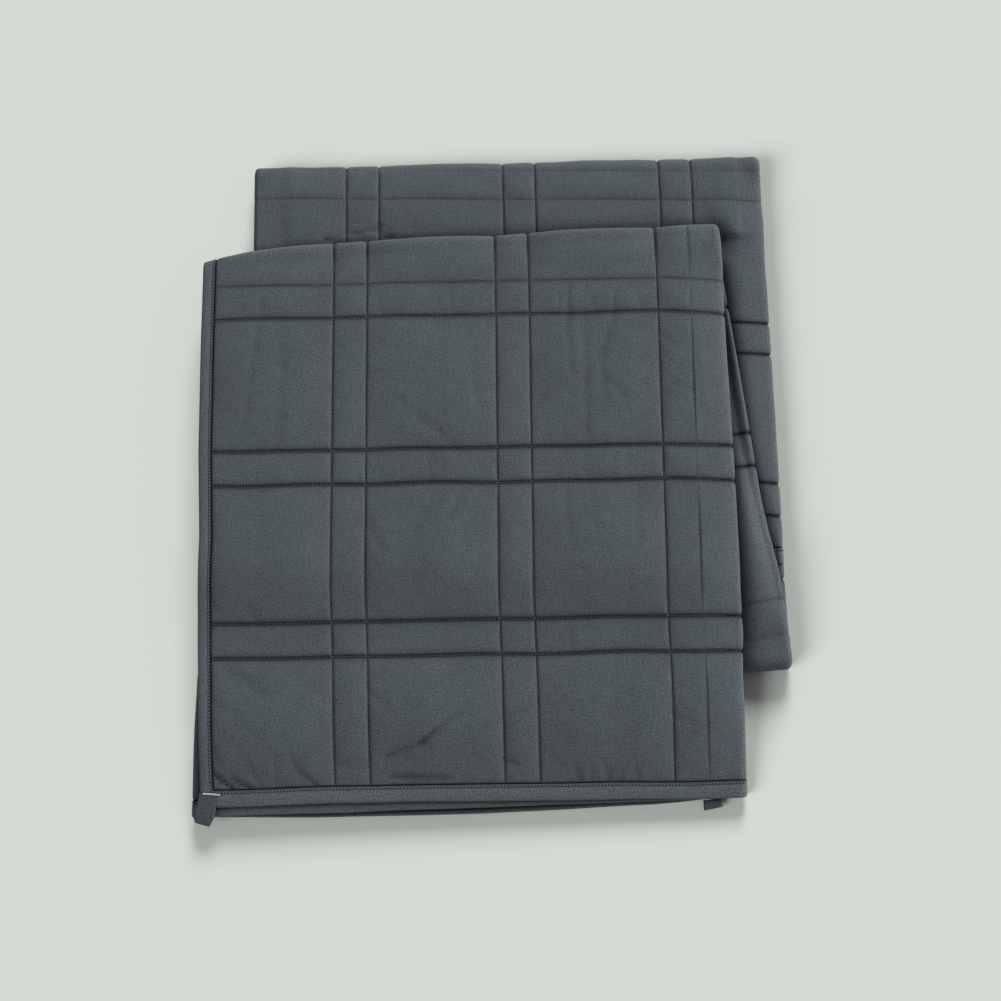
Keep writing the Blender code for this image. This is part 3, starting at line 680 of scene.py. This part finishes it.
def makeBinding():
    # a rounded U section carried round the cloth; at each station the inset grows from the edge inwards
    b = binding
    half = b["half"]
    inner = half - b["cloth"]
    turn = np.linspace(-pi / 2, pi / 2, 9)
    outer = [(half * (1 - cos(a)), half * sin(a)) for a in turn]
    upper = [(0.0040, half + 0.0002), (0.0070, half + 0.0002), (0.0092, half - 0.0001),
             (b["seam"], half - 0.0005), (0.0115, half - 0.0001), (b["reach"], half - 0.0004),
             (b["reach"], inner)]
    back = [(inset, -height) for inset, height in upper[::-1]]
    section = np.array(outer + upper + [(b["cloth"], inner), (b["cloth"], -inner)] + back)
    inset, height = section[:, 0], section[:, 1]
    endInset = inset * b["endReach"] / b["reach"]
    width, length = blanket["width"], blanket["length"]
    columns = rimU[(rimU > b["corner"]) & (rimU < width - b["corner"])]
    rows = rimV[(rimV > b["corner"]) & (rimV < length - b["corner"])]
    near = [(onColumn(np.full(len(inset), u), endInset), endInset) for u in columns]
    far = [(onColumn(np.full(len(inset), u), length - endInset), length - endInset) for u in columns[::-1]]
    side = [(width - inset, np.full(len(inset), v)) for v in rows]
    home = [(inset, np.full(len(inset), v)) for v in rows[::-1]]
    flat = [(inset, endInset)] + near + [(width - inset, endInset)] + side
    flat += [(width - inset, length - endInset)] + far + [(inset, length - endInset)] + home
    uu, vv = np.array([p[0] for p in flat]), np.array([p[1] for p in flat])
    points = placeOnPile(uu, vv, np.broadcast_to(height, uu.shape))
    ids = np.arange(uu.size).reshape(uu.shape)
    ring = np.vstack([ids, ids[:1]])
    ring = np.hstack([ring, ring[:, :1]])
    runs = np.concatenate([[0], np.cumsum(np.hypot(np.diff(uu[:, 0]), np.diff(vv[:, 0])))])
    around = np.concatenate([[0], np.cumsum(np.hypot(np.diff(inset), np.diff(height)))])
    uv = np.stack(np.meshgrid(around, runs), -1)
    # painted shade in the seams, at the sides and where the second layer goes in under the first; painted
    # light on the ends
    inSeam = (np.abs(inset - b["seam"]) < 0.0001) | (np.abs(inset - b["reach"]) < 0.0001)
    shade = np.where(inSeam, b["paintedSeamShade"], b["endPaintedLight"])
    sidePaintedShade = np.where(inset > b["seam"] - 0.0001, b["sidePaintedShade"], 0.0)
    isSide = (vv > 0.02) & (vv < length - 0.02)
    tucked = ramp(uu, 0.515, 0.530) * ramp(uu, 1.035, 1.020) * (vv < 0.02) * ramp(inset, 0.0002, 0.0034)
    shade = np.where(isSide, sidePaintedShade, shade + (b["tuckedPaintedShadow"] - shade) * tucked)
    return addMesh("boundEdge", points, gridQuads(ring), uv, shade)


boundEdge = makeBinding()
print("binding:", len(boundEdge.data.polygons), "faces")


# Threads, loops and bar tack

stitch = {
    "pitch": 0.00275,
    "length": 0.0017,
    "wide": 0.00052,  # half width
    "tall": 0.00040,  # half height
    "sunk": 0.00055,  # its middle is this far over the cloth in the seam
    "hemPitch": 0.00315,
    "hemLength": 0.0022,
}


def stitchRod():
    # two rings of four points and two end points, in lengths along, across and up
    ring = [(0, -1, 0), (0, 0, 1), (0, 1, 0), (0, 0, -1)]
    points = [(-0.5, 0, -1)] + [(-0.28, a, b) for _, a, b in ring] + [(0.28, a, b) for _, a, b in ring]
    points += [(0.5, 0, -1)]
    faces = [(0, 1 + k, 1 + (k + 1) % 4) for k in range(4)]
    faces += [(9, 5 + (k + 1) % 4, 5 + k) for k in range(4)]
    faces += [(1 + k, 5 + k, 5 + (k + 1) % 4, 1 + (k + 1) % 4) for k in range(4)]
    return np.array(points), faces


def addRods(name, points, rod, rodFaces, uv):
    # one mesh from the points of many rods, rod after rod
    starts = np.arange(0, len(points), len(rod))[:, None, None]
    faces = []
    for corners in (4, 3):
        ofOneRod = np.array([face for face in rodFaces if len(face) == corners])
        faces += (starts + ofOneRod).reshape(-1, corners).tolist()
    return addMesh(name, points, faces, uv)


def makeStitches(name, runs):
    # a rod at each pitch along every run; each rod is bent by the fold map as the cloth is
    rod, rodFaces = stitchRod()
    allPoints, allPlaces = [], []
    for run in runs:
        count = int((run["end"] - run["start"]) / run["pitch"])
        middle = run["start"] + run["pitch"] * (np.arange(count) + 0.5)
        s = middle[:, None] + rod[:, 0] * run["length"]
        t = run["at"] + rod[:, 1] * stitch["wide"] + np.zeros_like(s)
        up = run["height"] + stitch["sunk"] + rod[:, 2] * stitch["tall"] + np.zeros_like(s)
        u, v = (s, t) if run["axis"] == 0 else (t, s)
        allPoints.append(placeOnPile(u, v, up).reshape(-1, 3))
        allPlaces.append(np.stack([s, np.broadcast_to(rod[:, 1] * 0.001, s.shape)], -1).reshape(-1, 2))
    return addRods(name, np.concatenate(allPoints), rod, rodFaces, np.concatenate(allPlaces))


def seamRuns(axis, low, high, start, end):
    # a run on each stitch line across (axis 0) or along (axis 1) that lies between low and high
    return [{"axis": axis, "at": line, "start": start, "end": end, "pitch": stitch["pitch"],
             "length": stitch["length"], "height": quilt["lineHalf"]}
            for line in (linesV, linesU)[axis] if low < line < high]


# the top third, the strip at the far end, and the strips at the right
topStitches = makeStitches("topStitches", (
    seamRuns(0, 0, 0.5, quilt["marginU"] + 0.001, rightFold - 0.003)
    + seamRuns(1, 0, 0.5, quilt["marginV"] + 0.001, 0.520)
    + seamRuns(0, 1.63, 1.67, rightFold + 0.040, leftFold + 0.012)
    + seamRuns(1, 0.55, 1.0, 1.622, 1.740)
    + seamRuns(0, 0.6, 1.0, rightFold + 0.016, rightFold + 0.080)
    + seamRuns(0, 1.7, 2.1, rightFold + 0.036, rightFold + 0.080)))
underStitches = makeStitches("underStitches", (
    seamRuns(0, 1.1, 1.5, rightFold + 0.020, leftFold) + seamRuns(1, 0.55, 1.0, 1.06, 1.55)))


def hemRuns():
    # one row of stitches along the binding, on the face that shows
    b = binding
    scale = b["endReach"] / b["reach"]
    seamHeight = b["half"] - 0.0004
    common = {"pitch": stitch["hemPitch"], "length": stitch["hemLength"], "height": seamHeight}
    ends = [b["seam"] * scale, blanket["length"] - b["seam"] * scale]
    sides = [b["seam"], blanket["width"] - b["seam"]]
    rows = ((0, ends, blanket["width"], 0.014), (1, sides, blanket["length"], 0.017))
    return [{"axis": axis, "at": at, "start": corner, "end": size - corner, **common}
            for axis, places, size, corner in rows for at in places]


hemStitches = makeStitches("hemStitches", hemRuns())
print("stitches:", len(topStitches.data.polygons), len(underStitches.data.polygons),
      len(hemStitches.data.polygons))

loops = {
    "cloth": 0.0007,
    "level": 0.0029,  # top face of the near loop over the middle layer
    "turn": 0.0010,  # outer radius where the tape turns back
    "nearLeft": [(-0.0008, 0.0138), (-0.0028, 0.0060), (-0.0058, -0.0020), (-0.0068, -0.0080),
                 (-0.0057, -0.0123)],
    "nearRight": [(0.0151, 0.0138), (0.0150, 0.0070), (0.0146, -0.0005), (0.0130, -0.0090),
                  (0.0080, -0.0168)],
    "tuckedLeft": [(1.5068, -0.0007), (1.5070, -0.0030), (1.5072, -0.0060), (1.5074, -0.0098)],
    "tuckedRight": [(1.5235, -0.0007), (1.5237, -0.0025), (1.5240, -0.0045), (1.5245, -0.0068)],
    "tuckedLevel": 0.0013,
}


def pathAt(at, knots, path):
    # a path of (u, v) points, read off at these shares of its length
    return np.stack([np.interp(at, knots, np.array(path)[:, k]) for k in (0, 1)], -1)


def makeLoop(name, leftSide, rightSide, level, sag):
    # a tape between two edge curves runs out, turns at the tip and comes back under itself; both layers have
    # thickness, and the section across the tape is a thin rounded bar
    p = loops
    t = np.linspace(0, 1, 13)
    knots = np.linspace(0, 1, len(leftSide))
    left, right = pathAt(t, knots, leftSide), pathAt(t, knots, rightSide)
    angles = np.linspace(0, pi, 7)[1:-1]
    middle = level - p["turn"]
    half = p["cloth"] / 2
    mid = p["turn"] - half
    # the tape's middle: out on top, half a turn at the tip, and back
    reach = np.concatenate([t, np.ones(len(angles)), t[::-1]])
    bend = np.concatenate([np.zeros(len(t)), angles, np.full(len(t), pi)])
    up, out = np.cos(bend)[:, None], np.sin(bend)[:, None]
    shares = [0.02, 0.12, 0.3, 0.5, 0.7, 0.88, 0.98]
    share = np.array([0.0] + shares + [1.0] + shares[::-1])
    side = np.array([0.0] + [1.0] * len(shares) + [0.0] + [-1.0] * len(shares)) * half
    leftAt, rightAt = pathAt(reach, t, left), pathAt(reach, t, right)
    flat = leftAt[:, None, :] * (1 - share)[None, :, None] + rightAt[:, None, :] * share[None, :, None]
    u, v = flat[..., 0], flat[..., 1] - out * (mid + side)
    w = middle + up * (mid + side) - sag * np.clip(-v, 0, None) ** 2
    points = placeOnPile(u, v, w)
    ids = np.arange(u.size).reshape(u.shape)
    ring = np.hstack([ids, ids[:, :1]])
    faces = gridQuads(ring).tolist()
    faces += [ids[0, ::-1].tolist(), ids[-1, :].tolist()]
    uv = np.stack(np.broadcast_arrays(share * 0.016, reach[:, None] * 0.03), -1)
    return addMesh(name, points, faces, uv)


nearLoop = makeLoop("nearLoop", loops["nearLeft"], loops["nearRight"], loops["level"], 6.0)
tuckedLoop = makeLoop("tuckedLoop", loops["tuckedLeft"], loops["tuckedRight"], loops["tuckedLevel"], 0.0)

tack = {
    "start": (0.0026, 0.0135),
    "end": (0.0193, 0.0121),
    "strands": 30,
    "reach": 0.0010,  # half length of a strand
    "wide": 0.00030,
    "tall": 0.00028,
    "over": 0.00035,  # its middle is this far over the loop
    "lean": 0.25,
}


def makeTack():
    # close strands across a short bar, each a rod that leans a little
    rod, rodFaces = stitchRod()
    share = (np.arange(tack["strands"]) + 0.5) / tack["strands"]
    centreU = tack["start"][0] + (tack["end"][0] - tack["start"][0]) * share
    centreV = tack["start"][1] + (tack["end"][1] - tack["start"][1]) * share
    lengthwise = rod[:, 0] * 2 * tack["reach"]
    u = centreU[:, None] + rod[:, 1] * tack["wide"] + lengthwise * tack["lean"]
    v = centreV[:, None] + lengthwise
    w = loops["level"] + tack["over"] + rod[:, 2] * tack["tall"] + np.zeros_like(u)
    return addRods("satinTack", placeOnPile(u, v, w).reshape(-1, 3), rod, rodFaces, np.stack([u, v], -1))


satinTack = makeTack()


# Finishes

def newMaterial(name, surface):
    # surface holds what is the same all over, for the shader's own sockets
    material = bpy.data.materials.new(name)
    material.use_nodes = True
    shader = material.node_tree.nodes["Principled BSDF"]
    for socket, value in surface.items():
        shader.inputs[socket].default_value = value
    return material, material.node_tree, shader


def feed(tree, value, socket):
    # an output is linked; a number or a colour is set
    if hasattr(value, "links"):
        tree.links.new(value, socket)
    else:
        socket.default_value = value


def arithmetic(tree, operation, first, second=0.0):
    node = tree.nodes.new("ShaderNodeMath")
    node.operation = operation
    feed(tree, first, node.inputs[0])
    feed(tree, second, node.inputs[1])
    return node.outputs["Value"]


def flatPlace(nodes):
    # where the point lies on the flat cloth
    place = nodes.new("ShaderNodeUVMap")
    place.uv_map = "flatCloth"
    return place.outputs["UV"]


def paint(tree, shader, colour, level):
    # the base colour is this colour times the level
    tint = tree.nodes.new("ShaderNodeVectorMath")
    tint.operation = "SCALE"
    feed(tree, colour, tint.inputs[0])
    feed(tree, level, tint.inputs["Scale"])
    tree.links.new(tint.outputs["Vector"], shader.inputs["Base Color"])


def noise(tree, vector, scale, detail, stretch=(1, 1, 1)):
    # noise around 0, from about -0.5 to 0.5
    mapping = tree.nodes.new("ShaderNodeMapping")
    mapping.inputs["Scale"].default_value = stretch
    tree.links.new(vector, mapping.inputs["Vector"])
    texture = tree.nodes.new("ShaderNodeTexNoise")
    texture.inputs["Scale"].default_value = scale
    texture.inputs["Detail"].default_value = detail
    tree.links.new(mapping.outputs["Vector"], texture.inputs["Vector"])
    return arithmetic(tree, "SUBTRACT", texture.outputs["Fac"], 0.5)


cloth = {
    "cool": (0.0642, 0.0780, 0.0908),
    "warm": (0.0675, 0.0818, 0.0836),
    "grain": 1.10,  # share of the colour that single threads change
    "streak": 0.30,
    "mottle": 0.26,
    "mottleScale": 11.0,
    "hueScale": 45.0,  # of the change between the cool and the warm slate
    "weave": 0.06,
    "relief": (0.35, 0.0002),  # how strong and how high the weave's bump is
    # how strong the painted shade in the seams and creases is
    "paintedShadeDark": 0.90,
    "paintedNookShade": 0.018,  # how far a nook's walls reach for its painted shade
    # and how strong that painted shade is
    "paintedNookShadeDark": 1.25,
    "threadPitch": 0.00045,
    "surface": {"Roughness": 0.9, "Specular IOR Level": 0.2, "Sheen Weight": 0.12, "Sheen Roughness": 0.5,
                "Sheen Tint": (0.8, 0.88, 0.9, 1)},
}


def clothMaterial(name, shadeOf):
    # plain weave: crossed sine waves at the thread pitch, thread-long streaks, single bright and dark
    # threads and a soft mottle between a cool and a warm slate, with painted shade in the seams and where
    # walls stand close by
    material, tree, shader = newMaterial(name, cloth["surface"])
    nodes, links = tree.nodes, tree.links
    vector = flatPlace(nodes)
    split = nodes.new("ShaderNodeSeparateXYZ")
    links.new(vector, split.inputs["Vector"])
    turn = 2 * pi / cloth["threadPitch"]
    warp = arithmetic(tree, "SINE", arithmetic(tree, "MULTIPLY", split.outputs["X"], turn))
    weft = arithmetic(tree, "SINE", arithmetic(tree, "MULTIPLY", split.outputs["Y"], turn))
    weave = arithmetic(tree, "MULTIPLY", warp, weft)
    grain = noise(tree, vector, 1.0, 2.0, (820, 640, 1))
    streak = noise(tree, vector, 1.0, 2.0, (850, 70, 1))
    mottle = noise(tree, vector, cloth["mottleScale"], 3.0)
    level = arithmetic(tree, "MULTIPLY", grain, cloth["grain"] * 2)
    patterns = ((streak, cloth["streak"] * 2), (mottle, cloth["mottle"]), (weave, cloth["weave"]))
    for pattern, share in patterns:
        level = arithmetic(tree, "ADD", level, arithmetic(tree, "MULTIPLY", pattern, share))
    level = arithmetic(tree, "ADD", level, 1.0)
    # painted shade in nooks: darker where the occlusion node finds walls close by
    paintedNookShade = nodes.new("ShaderNodeAmbientOcclusion")
    paintedNookShade.samples = 5
    paintedNookShade.inputs["Distance"].default_value = cloth["paintedNookShade"]
    shut = arithmetic(tree, "SUBTRACT", paintedNookShade.outputs["AO"], 1.0)
    clear = arithmetic(tree, "ADD", arithmetic(tree, "MULTIPLY", shut, cloth["paintedNookShadeDark"]), 1.0)
    level = arithmetic(tree, "MULTIPLY", level, arithmetic(tree, "MAXIMUM", clear, 0.1))
    # painted shade in the seams and creases, from the mesh attribute
    seam = nodes.new("ShaderNodeAttribute")
    seam.attribute_name = "paintedSeamShade"
    dark = arithmetic(tree, "MULTIPLY", seam.outputs["Fac"], -cloth["paintedShadeDark"])
    level = arithmetic(tree, "MULTIPLY", level, arithmetic(tree, "ADD", dark, 1.0))
    level = arithmetic(tree, "MULTIPLY", level, shadeOf)
    hue = nodes.new("ShaderNodeMix")
    hue.data_type = "RGBA"
    hue.inputs["A"].default_value = (*cloth["cool"], 1)
    hue.inputs["B"].default_value = (*cloth["warm"], 1)
    change = arithmetic(tree, "MULTIPLY", noise(tree, vector, cloth["hueScale"], 3.0), 2.0)
    links.new(arithmetic(tree, "ADD", change, 0.5), hue.inputs["Factor"])
    paint(tree, shader, hue.outputs["Result"], level)
    bump = nodes.new("ShaderNodeBump")
    bump.inputs["Strength"].default_value, bump.inputs["Distance"].default_value = cloth["relief"]
    fuzz = arithmetic(tree, "MULTIPLY", grain, 2.0)
    relief = arithmetic(tree, "ADD", arithmetic(tree, "MULTIPLY", weave, 0.5), fuzz)
    links.new(relief, bump.inputs["Height"])
    links.new(bump.outputs["Normal"], shader.inputs["Normal"])
    return material


thread = {"slant": 0.6, "twist": 0.0005, "contrast": 0.12}


def threadMaterial(name, base, roughness):
    # twisted thread: slanting bands along its length, each a little lighter or darker
    material, tree, shader = newMaterial(name, {"Roughness": roughness, "Specular IOR Level": 0.35})
    split = tree.nodes.new("ShaderNodeSeparateXYZ")
    tree.links.new(flatPlace(tree.nodes), split.inputs["Vector"])
    sloped = arithmetic(tree, "ADD", split.outputs["X"],
                        arithmetic(tree, "MULTIPLY", split.outputs["Y"], thread["slant"]))
    band = arithmetic(tree, "SINE", arithmetic(tree, "MULTIPLY", sloped, 2 * pi / thread["twist"]))
    level = arithmetic(tree, "ADD", arithmetic(tree, "MULTIPLY", band, thread["contrast"]), 1.0)
    paint(tree, shader, base, level)
    return material


clothFinish = clothMaterial("slateCloth", 1.0)
# painted light: the binding is 8% lighter than the cloth
bindingFinish = clothMaterial("bindingCloth", 1.08)
loopFinish = clothMaterial("loopTape", 0.85)
seamThread = threadMaterial("seamThread", (0.078, 0.092, 0.104), 0.7)
hemThread = threadMaterial("hemThread", (0.105, 0.125, 0.135), 0.6)
paleThread = threadMaterial("paleThread", (0.56, 0.53, 0.48), 0.5)
dressed = [
    (quiltedCloth, clothFinish, "quilted_cloth"), (boundEdge, bindingFinish, "binding_cloth"),
    (nearLoop, loopFinish, "loop_tape"), (tuckedLoop, loopFinish, "loop_tape"),
    (topStitches, seamThread, "quilted_cloth"), (underStitches, seamThread, "quilted_cloth"),
    (hemStitches, hemThread, "binding_cloth"), (satinTack, paleThread, "pale_thread"),
]
for piece, finish, slot in dressed:
    piece.data.materials.append(finish)
    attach(piece, "root")
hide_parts("quilted_panel")
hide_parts("edge_binding")
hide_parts("loop_near_corner")
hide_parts("loop_tucked_corner")
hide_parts("bar_tack")


# Studio

studio = {
    "target": (0.0076, -0.0289, 0.03),
    "elevation": radians(76.6),
    "distance": 1.63,
    "lens": 60.45,
    "floor": (0.665, 0.701, 0.658),
    "sky": 0.176,
    "floorSuns": [{"from": (0.080, 0.878, 0.471), "spread": radians(21), "power": 2.95},
                  {"from": (-0.681, -0.436, 0.588), "spread": radians(34), "power": 2.04}],
    "clothSuns": [{"from": (0.90, 0.40, 0.42), "spread": radians(28), "power": 4.55},
                  {"from": (0.0, 0.0, 1.0), "spread": radians(170), "power": 1.00}],
}


def makeFloor():
    # a plain sheet far wider than the view
    bpy.ops.mesh.primitive_plane_add(size=12)
    floor = bpy.context.object
    floor.name = "floor"
    surface = {"Base Color": (*studio["floor"], 1), "Roughness": 1.0, "Specular IOR Level": 0.0}
    material = newMaterial("paleFloor", surface)[0]
    floor.data.materials.append(material)
    return floor


def makeSun(name, lamp, floorGroup, state):
    # a sun with a wide disc, so that its shadows are soft; it lights the floor alone, or all but the floor
    light = bpy.data.lights.new(name, "SUN")
    light.energy = lamp["power"]
    light.angle = lamp["spread"]
    shown = bpy.data.objects.new(name, light)
    bpy.context.scene.collection.objects.link(shown)
    x, y, z = lamp["from"]
    shown.location = (x, y, z)
    shown.rotation_euler = (atan2(np.hypot(x, y), z), 0, atan2(y, x) + pi / 2)
    shown.light_linking.receiver_collection = floorGroup
    floorGroup.collection_objects[0].light_linking.link_state = state


def makeCamera():
    camera = bpy.data.cameras.new("camera")
    camera.lens = studio["lens"]
    camera.sensor_width = 36
    shot = bpy.data.objects.new("camera", camera)
    bpy.context.scene.collection.objects.link(shot)
    tx, ty, tz = studio["target"]
    tilt, away = studio["elevation"], studio["distance"]
    shot.location = (tx, ty - away * cos(tilt), tz + away * sin(tilt))
    shot.rotation_euler = (pi / 2 - tilt, 0, 0)
    bpy.context.scene.camera = shot


floor = makeFloor()
for state, lamps in (("INCLUDE", studio["floorSuns"]), ("EXCLUDE", studio["clothSuns"])):
    group = bpy.data.collections.new("floor" + state.lower())
    group.objects.link(floor)
    for number, lamp in enumerate(lamps):
        makeSun(f"{state.lower()}Sun{number}", lamp, group, state)
makeCamera()
world = bpy.data.worlds.new("studio")
bpy.context.scene.world = world
world.use_nodes = True
sky = world.node_tree.nodes["Background"].inputs
sky["Color"].default_value = (1, 1, 1, 1)
sky["Strength"].default_value = studio["sky"]
bpy.context.scene.view_settings.view_transform = "Standard"
